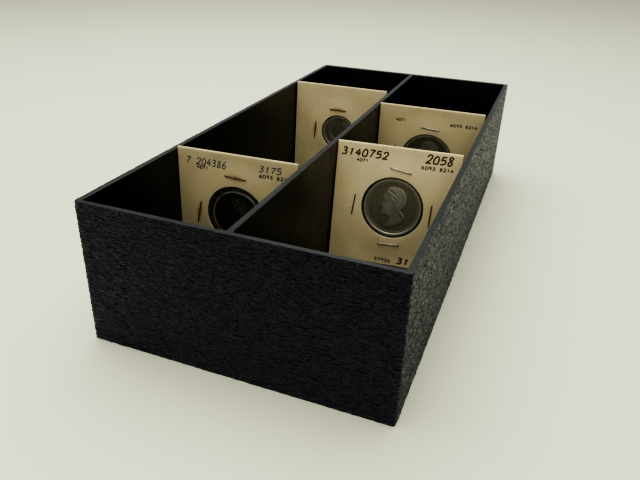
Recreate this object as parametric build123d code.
from build123d import *

import os
from dataclasses import dataclass
from math import cos, pi, radians, sin

# An open desk tray for coins in folded cardboard holders. The tray is one print:
# a floor, four walls and a divider that makes two rows. Each holder is a card
# folded over a clear film, with a coin between its windows and four staples.
# Millimetres, +Z up. The origin is the middle of the tray's underside, X runs
# across the two rows and Y along them, away from the front wall.

# Card holder
CARD_WIDTH = 50.8
CARD_HEIGHT = 50.8
CARD_THICKNESS = 0.42
FILM_THICKNESS = 0.08
LEAF_GAP = 0.12
WINDOW_RIM = 1.0
BULGE_RUN = 9.0
FLAT_BORDER = 1.2
MOUND_SIDES = 16
COIN_CLEARANCE = 0.02
REST_CLEARANCE = 0.03

# Staples
STAPLE_CROWN = 9.5
STAPLE_WIRE = 0.5
STAPLE_LEG = 6.4
STAPLE_BEND = 0.25
STAPLE_CLEARANCE = 0.04

# Coins
COIN_RIM = 1.1
COIN_RIM_HEIGHT = 0.2
REED_DEPTH = 0.15

# Tray
SIDE_CLEARANCE = 0.6
CARD_PROUD = 0.8
ROW_LENGTH = 224.9
WALL = 2.3
DIVIDER = 2.3
FLOOR = 3.6
CORNER_RADIUS = 1.2
INNER_RADIUS = 0.6
FOOT_CHAMFER = 0.4

ROW_WIDTH = CARD_WIDTH + 2 * SIDE_CLEARANCE
ROW_DEPTH = CARD_HEIGHT - CARD_PROUD
TRAY_WIDTH = 2 * ROW_WIDTH + DIVIDER + 2 * WALL
TRAY_LENGTH = ROW_LENGTH + 2 * WALL
TRAY_HEIGHT = FLOOR + ROW_DEPTH
ROW_CENTRE = (DIVIDER + ROW_WIDTH) / 2

# Distance of each layer of a shut holder from its middle plane
FILM_INSIDE = LEAF_GAP / 2
CARD_INSIDE = FILM_INSIDE + FILM_THICKNESS
CARD_OUTSIDE = CARD_INSIDE + CARD_THICKNESS


@dataclass
class Staple:
    side: float
    reach: float
    slide: float
    tilt: float


@dataclass
class Holder:
    name: str
    row: int
    place: float
    nearness: float
    lean: float
    yaw: float
    turned: bool
    coin_diameter: float
    coin_thickness: float
    reeds: int
    window_margin: float
    staples: tuple

    @property
    def window_radius(self):
        return self.coin_diameter / 2 + self.window_margin

    @property
    def flat_radius(self):
        return self.window_radius + WINDOW_RIM

    @property
    def bulge_radius(self):
        border = min(CARD_WIDTH, CARD_HEIGHT) / 2 - FLAT_BORDER
        return min(self.flat_radius + BULGE_RUN, border)

    @property
    def half_coin(self):
        return self.coin_thickness / 2 + COIN_CLEARANCE


# Places are shares of the row from the front wall, and nearness is a share of the
# side clearance, towards the right. Leans, yaws and tilts are in degrees.
# A staple's side is its direction from the coin, where 90 is towards the fold.
HOLDERS = (
    Holder(
        "right_front", 1, 0.382, -0.3, 9.0, 3.4, False, 24.26, 1.75, 48, 0.9,
        (
            Staple(90, 3.0, 1.9, -9.4),
            Staple(180, 3.3, -0.6, -6.0),
            Staple(0, 2.9, 0.8, -2.0),
            Staple(270, 2.9, -0.3, 3.7),
        ),
    ),
    Holder(
        "right_back", 1, 0.687, -0.2, 0.0, 1.1, False, 24.26, 1.75, 48, 0.6,
        (
            Staple(90, 2.8, 0.3, -3.7),
            Staple(180, 3.1, 0.4, 2.0),
            Staple(0, 3.0, -0.3, -3.0),
            Staple(270, 3.2, 0.5, 1.5),
        ),
    ),
    Holder(
        "left_back", -1, 0.771, 0.0, 3.5, 0.6, True, 17.9, 1.35, 48, 0.6,
        (
            Staple(90, 2.8, 0.8, 0.0),
            Staple(180, 3.4, 0.0, -2.0),
            Staple(0, 3.9, 0.0, 3.0),
            Staple(270, 3.3, -0.6, 2.0),
        ),
    ),
    Holder(
        "left_front", -1, 0.245, -0.5, 1.4, 1.7, False, 21.2, 1.95, 0, 2.1,
        (
            Staple(90, 3.5, -0.1, -3.1),
            Staple(180, 3.7, -0.7, -11.6),
            Staple(0, 3.4, -0.5, 3.0),
            Staple(270, 3.2, 0.4, -2.0),
        ),
    ),
)


def tray():
    """The printed tray: two rows cut down to the floor, with a flush divider."""
    body = Rectangle(TRAY_WIDTH, TRAY_LENGTH)
    body = fillet(body.vertices(), min(CORNER_RADIUS, 0.9 * WALL))
    body = extrude(body, TRAY_HEIGHT)
    body = chamfer(body.faces().sort_by(Axis.Z)[0].edges(), min(FOOT_CHAMFER, 0.4 * FLOOR))
    for side in (-1, 1):
        row = fillet(Rectangle(ROW_WIDTH, ROW_LENGTH).vertices(), INNER_RADIUS)
        body -= Pos(side * ROW_CENTRE, 0, FLOOR) * extrude(row, ROW_DEPTH)
    return body


def folded_sheet(inside, outside):
    """Two leaves joined by a round fold along the top edge, open at the bottom."""
    fold_height = CARD_HEIGHT - CARD_OUTSIDE

    def stadium(half):
        leaf = Pos(0, fold_height / 2) * Rectangle(2 * half, fold_height)
        return leaf + Pos(0, fold_height) * Circle(half)

    section = stadium(outside) - stadium(inside)
    return Pos(-CARD_WIDTH / 2) * extrude(Plane.YZ * section, CARD_WIDTH)


def frustum(low, high, height):
    """A mound with flat faces between two regular polygons, given by their radii."""
    turns = [2 * pi * i / MOUND_SIDES for i in range(MOUND_SIDES)]
    rings = [
        [(radius * cos(turn), radius * sin(turn), z) for turn in turns]
        for radius, z in ((low, 0), (high, height))
    ]
    foot, crown = rings
    sides = [[foot[i - 1], foot[i], crown[i], crown[i - 1]] for i in range(MOUND_SIDES)]
    return Solid(Shell([Face(Wire.make_polygon(points)) for points in sides + rings]))


def mound(holder, height):
    """The space under a leaf's face: flat over the coin, sloping down to the border."""
    foot = extrude(RegularPolygon(holder.bulge_radius, MOUND_SIDES), height)
    lift = holder.half_coin - FILM_INSIDE
    return foot + Pos(0, 0, height) * frustum(holder.bulge_radius, holder.flat_radius, lift)


def bulged_sheet(holder, inside, outside):
    """A folded sheet whose two leaves are pushed apart by the coin and pierced by staples."""
    centre = Pos(0, 0, CARD_HEIGHT / 2)
    foot = RegularPolygon(holder.bulge_radius, MOUND_SIDES)
    sheet = folded_sheet(inside, outside)
    sheet -= centre * Rot(90, 0, 0) * extrude(foot, 2 * outside, both=True)
    leaf = mound(holder, outside) - mound(holder, inside)
    for turn in (90, -90):
        sheet += centre * Rot(turn, 0, 0) * leaf
    return sheet - [hole for item in holder.staples for hole in leg_holes(holder, item)]


def card(holder):
    """The board: a bulged sheet with a round window in each leaf."""
    window = Rot(90, 0, 0) * Cylinder(holder.window_radius, 4 * holder.coin_thickness)
    return bulged_sheet(holder, CARD_INSIDE, CARD_OUTSIDE) - Pos(0, 0, CARD_HEIGHT / 2) * window


def film(holder):
    """The clear film, folded inside the board and closed over both windows."""
    return bulged_sheet(holder, FILM_INSIDE, CARD_INSIDE)


def surface_height(holder, radius):
    """Height of the card's face above the middle plane, this far from the window's centre."""
    lift = holder.half_coin - FILM_INSIDE
    share = (holder.bulge_radius - radius) / (holder.bulge_radius - holder.flat_radius)
    return CARD_OUTSIDE + lift * max(0.0, min(1.0, share))


def staple_place(holder, item):
    """Where a staple lies on the card: its middle, turned along its crown."""
    reach = holder.window_radius + item.reach
    side = Rot(0, 90 - item.side, 0)
    return Pos(0, 0, CARD_HEIGHT / 2) * side * Pos(item.slide, 0, reach) * Rot(0, -item.tilt, 0)


def staple_height(holder, item):
    """Height of the crown's underside: the card's highest point below the crown."""
    reach = holder.window_radius + item.reach
    tilt = radians(item.tilt)
    nearest = reach * cos(tilt) - item.slide * sin(tilt) - STAPLE_WIRE / 2
    return surface_height(holder, nearest) + STAPLE_CLEARANCE


def leg_holes(holder, item):
    """The two square holes that a staple's legs make in the sheets."""
    size = STAPLE_WIRE + 2 * STAPLE_CLEARANCE
    depth = 4 * staple_height(holder, item)
    reach = (STAPLE_CROWN - STAPLE_WIRE) / 2
    place = staple_place(holder, item)
    return [place * Pos(side * reach) * Box(size, depth, size) for side in (-1, 1)]


def staple(holder, item):
    """One staple: a crown in front, two legs through, clinched towards each other behind."""
    inner_depth = 2 * staple_height(holder, item)
    depth = inner_depth + 2 * STAPLE_WIRE
    inner_length = STAPLE_CROWN - 2 * STAPLE_WIRE
    clinch = min(STAPLE_LEG - inner_depth, 0.45 * inner_length)
    gap = inner_length - 2 * clinch
    outline = Rectangle(STAPLE_CROWN, depth)
    outline = chamfer(outline.vertices(), STAPLE_BEND)
    outline -= Rectangle(inner_length, inner_depth)
    outline -= Pos(0, (depth - STAPLE_WIRE) / 2) * Rectangle(gap, 2 * STAPLE_WIRE)
    wire = extrude(outline, STAPLE_WIRE / 2, both=True)
    return staple_place(holder, item) * wire


def staples(holder, place):
    """The holder's staples, each a solid of its own, in place."""
    return Compound(children=[place * staple(holder, item) for item in holder.staples])


def coin(holder):
    """A struck coin: a flat field inside a raised rim, with a plain or reeded edge."""
    radius = holder.coin_diameter / 2
    if holder.reeds:
        steps = 2 * holder.reeds
        radii = (radius, radius - REED_DEPTH)
        points = [
            (radii[i % 2] * cos(pi * i / holder.reeds), radii[i % 2] * sin(pi * i / holder.reeds))
            for i in range(steps)
        ]
        outline = Polygon(*points, align=None)
    else:
        outline = Circle(radius)
    blank = extrude(outline, holder.coin_thickness / 2, both=True)
    for face in (-1, 1):
        field = Cylinder(radius - COIN_RIM, 2 * COIN_RIM_HEIGHT)
        blank -= Pos(0, 0, face * holder.coin_thickness / 2) * field
    return Pos(0, 0, CARD_HEIGHT / 2) * Rot(90, 0, 0) * blank


def holder_place(holder):
    """Where a holder stands in its row, on the edge that its lean brings lowest."""
    lean = radians(holder.lean)
    drift = CARD_HEIGHT / 2 * sin(lean) * sin(radians(holder.yaw))
    x = holder.row * ROW_CENTRE + holder.nearness * SIDE_CLEARANCE + drift
    y = (holder.place - 0.5) * ROW_LENGTH
    z = FLOOR + REST_CLEARANCE + CARD_OUTSIDE * abs(sin(lean))
    facing = Rot(0, 0, 180) if holder.turned else Rot(0, 0, 0)
    return Pos(x, y, z) * Rot(0, 0, holder.yaw) * Rot(-holder.lean, 0, 0) * facing


os.makedirs("parts", exist_ok=True)
export_step(tray(), "parts/tray.step")

for item in HOLDERS:
    place = holder_place(item)
    export_step(place * card(item), f"parts/{item.name}_card.step")
    export_step(place * film(item), f"parts/{item.name}_film.step")
    export_step(place * coin(item), f"parts/{item.name}_coin.step")
    export_step(staples(item, place), f"parts/{item.name}_staples.step")
